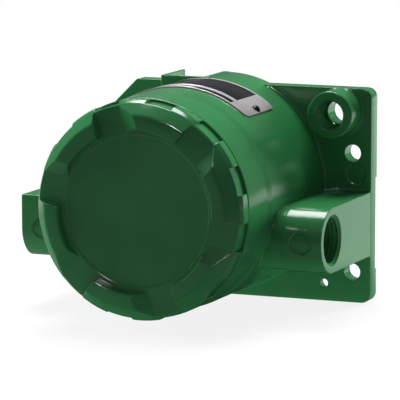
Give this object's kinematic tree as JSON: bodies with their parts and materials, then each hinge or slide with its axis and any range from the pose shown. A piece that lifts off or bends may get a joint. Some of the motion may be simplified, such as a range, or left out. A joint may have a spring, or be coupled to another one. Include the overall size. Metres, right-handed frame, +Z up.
{
  "type": "valve position transmitter",
  "caption": "Explosion-proof housing with screwed notched cover, side conduit entries and flat mounting plate; a rear shaft drives a geared potentiometer behind a circuit board.",
  "frame": {"origin": "on the input shaft's axis, in the rear mounting plane", "axes": "+Y backwards along the input shaft, out of the mounting plate; +Z up; +X to the right of someone facing the cover"},
  "size_m": [0.1394, 0.1325, 0.0993],
  "materials": {
    "housing_paint": "die-cast, under gloss green enamel",
    "cover_paint": "die-cast, under gloss green enamel",
    "nameplate_metal": "satin, with printed black fields",
    "drive_screw_steel": "dark plated",
    "shaft_steel": "turned stainless",
    "ring_steel": "phosphated spring steel",
    "bronze": "sintered, matt",
    "seal_rubber": "matt",
    "gear_brass": "machined",
    "set_screw_steel": "black oxide",
    "bracket_aluminium": "satin",
    "potentiometer_case": "moulded",
    "plated_hardware": "nickel plated",
    "tinned_wire": "tinned",
    "board_laminate": "solder mask",
    "transformer_core": "varnished ferrite with tape",
    "capacitor_cans": "printed sleeve",
    "choke_winding": "enamelled copper on ferrite",
    "trimmer_case": "moulded",
    "trimmer_screw": "machined",
    "terminal_plastic": "moulded phenolic"
  },
  "bodies": {
    "housing": {"housing": "housing_paint", "rear_bushing": "bronze", "front_bushing": "bronze", "shaft_o_ring": "seal_rubber", "gear_bracket": "bracket_aluminium", "potentiometer_body": "potentiometer_case", "potentiometer_lock_washer": "plated_hardware", "potentiometer_nut": "plated_hardware", "potentiometer_pins": "tinned_wire", "board_standoffs": "plated_hardware", "circuit_board": "board_laminate", "board_screws": "plated_hardware", "isolation_transformer": "transformer_core", "capacitors": "capacitor_cans", "filter_choke": "choke_winding", "zero_trimmer": "trimmer_case", "span_trimmer": "trimmer_case", "terminal_block": "terminal_plastic", "terminal_clamps": "plated_hardware", "terminal_screws": "plated_hardware", "ground_clamp": "plated_hardware", "ground_screw": "plated_hardware", "nameplate": "nameplate_metal", "nameplate_screws": "drive_screw_steel"},
    "input_shaft": {"input_shaft": "shaft_steel", "shaft_retaining_ring": "ring_steel", "sector_gear": "gear_brass", "sector_set_screw": "set_screw_steel"},
    "potentiometer_rotor": {"potentiometer_shaft": "shaft_steel", "pinion_gear": "gear_brass", "pinion_set_screw": "set_screw_steel"},
    "cover_seal": {"cover_o_ring": "seal_rubber"},
    "front_cover": {"front_cover": "cover_paint"},
    "zero_adjuster": {"zero_adjusting_screw": "trimmer_screw"},
    "span_adjuster": {"span_adjusting_screw": "trimmer_screw"}
  },
  "joints": [
    {"name": "input_shaft_turn", "type": "hinge", "parent": "housing", "child": "input_shaft", "pos_m": [0, 0, 0], "axis": [0, 1, 0], "range_deg": [-45, 45]},
    {"name": "potentiometer_turn", "type": "hinge", "parent": "housing", "child": "potentiometer_rotor", "pos_m": [0, -0.022, 0.0289], "axis": [0, 1, 0], "range_deg": [-150, 150]},
    {"name": "cover_advance", "type": "slide", "parent": "housing", "child": "cover_seal", "axis": [0, -1, 0], "range_m": [0, 0.0141]},
    {"name": "cover_unscrew", "type": "hinge", "parent": "cover_seal", "child": "front_cover", "pos_m": [0, -0.1, 0], "axis": [0, -1, 0], "range_deg": [0, 2520]},
    {"name": "zero_adjust", "type": "hinge", "parent": "housing", "child": "zero_adjuster", "pos_m": [-0.012, -0.05, 0.008], "axis": [0, -1, 0], "range_deg": [-135, 135]},
    {"name": "span_adjust", "type": "hinge", "parent": "housing", "child": "span_adjuster", "pos_m": [0.012, -0.05, 0.008], "axis": [0, -1, 0], "range_deg": [-135, 135]}
  ],
  "couplings": [
    {"joint": "potentiometer_turn", "follows": "input_shaft_turn", "ratio": -3},
    {"joint": "cover_advance", "follows": "cover_unscrew", "m_per_rad": 0.00031831}
  ]
}
